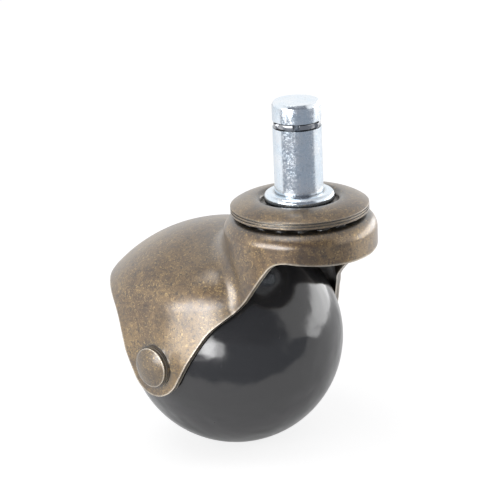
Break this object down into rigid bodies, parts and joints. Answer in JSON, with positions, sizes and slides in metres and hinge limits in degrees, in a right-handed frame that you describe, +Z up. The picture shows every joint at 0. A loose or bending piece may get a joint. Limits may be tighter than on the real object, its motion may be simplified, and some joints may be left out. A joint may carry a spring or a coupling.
{
  "type": "ball castor",
  "caption": "Hooded ball castor with a grip ring stem, a swivelling ball race under a round top cap, and a large round ball wheel on a riveted axle.",
  "frame": {"origin": "on the stem's axis, in the plane of the collar's seating face", "axes": "+Z up the stem, towards its tip; the hood trails towards -X; the wheel's axis is parallel to Y"},
  "size_m": [0.0691, 0.0576, 0.085],
  "materials": {
    "antique_brass": "aged brown brass plating, satin",
    "bright_zinc": "bright zinc plating, lightly scratched",
    "spring_steel": "bright spring steel",
    "washer_steel": "zinc plated",
    "race_steel": "polished hard steel",
    "black_plastic": "glossy moulded",
    "bush_plastic": "moulded, natural"
  },
  "bodies": {
    "stem_group": {"stem": "bright_zinc", "grip_ring": "spring_steel", "top_cap": "antique_brass", "retaining_washer": "washer_steel"},
    "race": {"race_ball_01": "race_steel", "race_ball_02": "race_steel", "race_ball_03": "race_steel", "race_ball_04": "race_steel", "race_ball_05": "race_steel", "race_ball_06": "race_steel", "race_ball_07": "race_steel", "race_ball_08": "race_steel", "race_ball_09": "race_steel", "race_ball_10": "race_steel", "race_ball_11": "race_steel", "race_ball_12": "race_steel", "race_ball_13": "race_steel", "race_ball_14": "race_steel", "race_ball_15": "race_steel", "race_ball_16": "race_steel"},
    "fork": {"hood": "antique_brass", "axle_rivet": "antique_brass", "side_washer_left": "bush_plastic", "side_washer_right": "bush_plastic"},
    "wheel": {"ball_wheel": "black_plastic", "wheel_bush": "bush_plastic"}
  },
  "joints": [
    {"name": "swivel", "type": "hinge", "parent": "stem_group", "child": "fork", "pos_m": [0, 0, 0], "axis": [0, 0, 1], "continuous": true},
    {"name": "race_orbit", "type": "hinge", "parent": "stem_group", "child": "race", "pos_m": [0, 0, 0], "axis": [0, 0, 1], "continuous": true},
    {"name": "wheel_roll", "type": "hinge", "parent": "fork", "child": "wheel", "pos_m": [-0.022, 0, -0.0392], "axis": [0, 1, 0], "continuous": true}
  ],
  "couplings": [
    {"joint": "race_orbit", "follows": "swivel", "ratio": 0.5}
  ]
}
